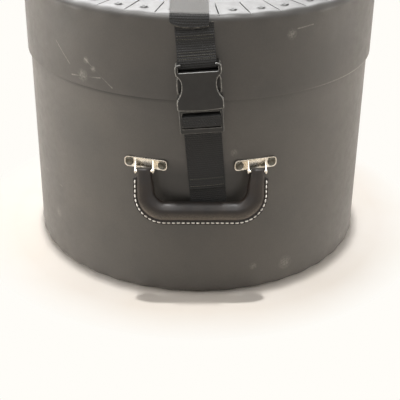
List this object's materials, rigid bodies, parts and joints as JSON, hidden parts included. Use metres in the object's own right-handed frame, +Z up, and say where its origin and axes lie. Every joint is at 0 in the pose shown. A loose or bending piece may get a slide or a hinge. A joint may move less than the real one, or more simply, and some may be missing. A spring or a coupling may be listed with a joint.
{
  "type": "drum case",
  "caption": "Round fibre drum case: deep base, telescoping lid with riveted tabs, web strap with a side-release buckle over the top, and a stitched drop handle on the front wall.",
  "frame": {"origin": "centre of the bottom disc's underside, on the case's axis; the folded tabs and their rivet heads, on which the case stands, reach 3.7 mm lower", "axes": "+Z up along the case's axis, out through the lid; -Y is the front, with the handle and the buckle; +X to the right of someone who faces the front"},
  "size_m": [0.3996, 0.4154, 0.3212],
  "materials": {
    "fibre": "satin",
    "webbing": "matte",
    "moulded_buckle": "satin",
    "handle_leather": "satin",
    "handle_filling": "matte",
    "plated_steel": "satin",
    "rivet_steel": "satin"
  },
  "bodies": {
    "base": {"base_disc": "fibre", "base_seam_rivet_1": "rivet_steel", "base_seam_rivet_2": "rivet_steel", "base_seam_rivet_3": "rivet_steel", "base_shell": "fibre", "buckle_plug": "moulded_buckle", "handle_pin_left": "plated_steel", "handle_pin_right": "plated_steel", "handle_plate_left": "plated_steel", "handle_plate_right": "plated_steel", "lower_strap": "webbing", "plate_rivet_left_1": "rivet_steel", "plate_rivet_left_2": "rivet_steel", "plate_rivet_right_1": "rivet_steel", "plate_rivet_right_2": "rivet_steel", "strap_back": "webbing", "strap_rivet_back_1": "rivet_steel", "strap_rivet_back_2": "rivet_steel", "strap_rivet_front_1": "rivet_steel", "strap_rivet_front_2": "rivet_steel"},
    "lid": {"lid_shell": "fibre", "lid_disc": "fibre", "lid_seam_rivet_1": "rivet_steel", "lid_seam_rivet_2": "rivet_steel", "strap_top": "webbing", "buckle_loop": "webbing", "buckle_socket": "moulded_buckle"},
    "handle": {"handle_cover": "handle_leather", "handle_core": "handle_filling"},
    "prong_left": {"buckle_prong_left": "moulded_buckle"},
    "prong_right": {"buckle_prong_right": "moulded_buckle"}
  },
  "joints": [
    {"name": "lid_lift", "type": "slide", "parent": "base", "child": "lid", "axis": [0, 0, 1], "range_m": [0, 0.15], "deforming": ["strap_back", "buckle_prong_left", "buckle_prong_right"]},
    {"name": "handle_swing", "type": "hinge", "parent": "base", "child": "handle", "pos_m": [0, -0.199, 0.1494], "axis": [-1, 0, 0], "range_deg": [0, 140]},
    {"name": "prong_left_squeeze", "type": "hinge", "parent": "base", "child": "prong_left", "pos_m": [-0.01756, -0.2066, 0.22095], "axis": [0, 1, 0], "range_deg": [0, 9], "stiffness_Nm_per_rad": 0.1},
    {"name": "prong_right_squeeze", "type": "hinge", "parent": "base", "child": "prong_right", "pos_m": [0.01571, -0.2066, 0.22386], "axis": [0, -1, 0], "range_deg": [0, 9], "stiffness_Nm_per_rad": 0.1}
  ]
}
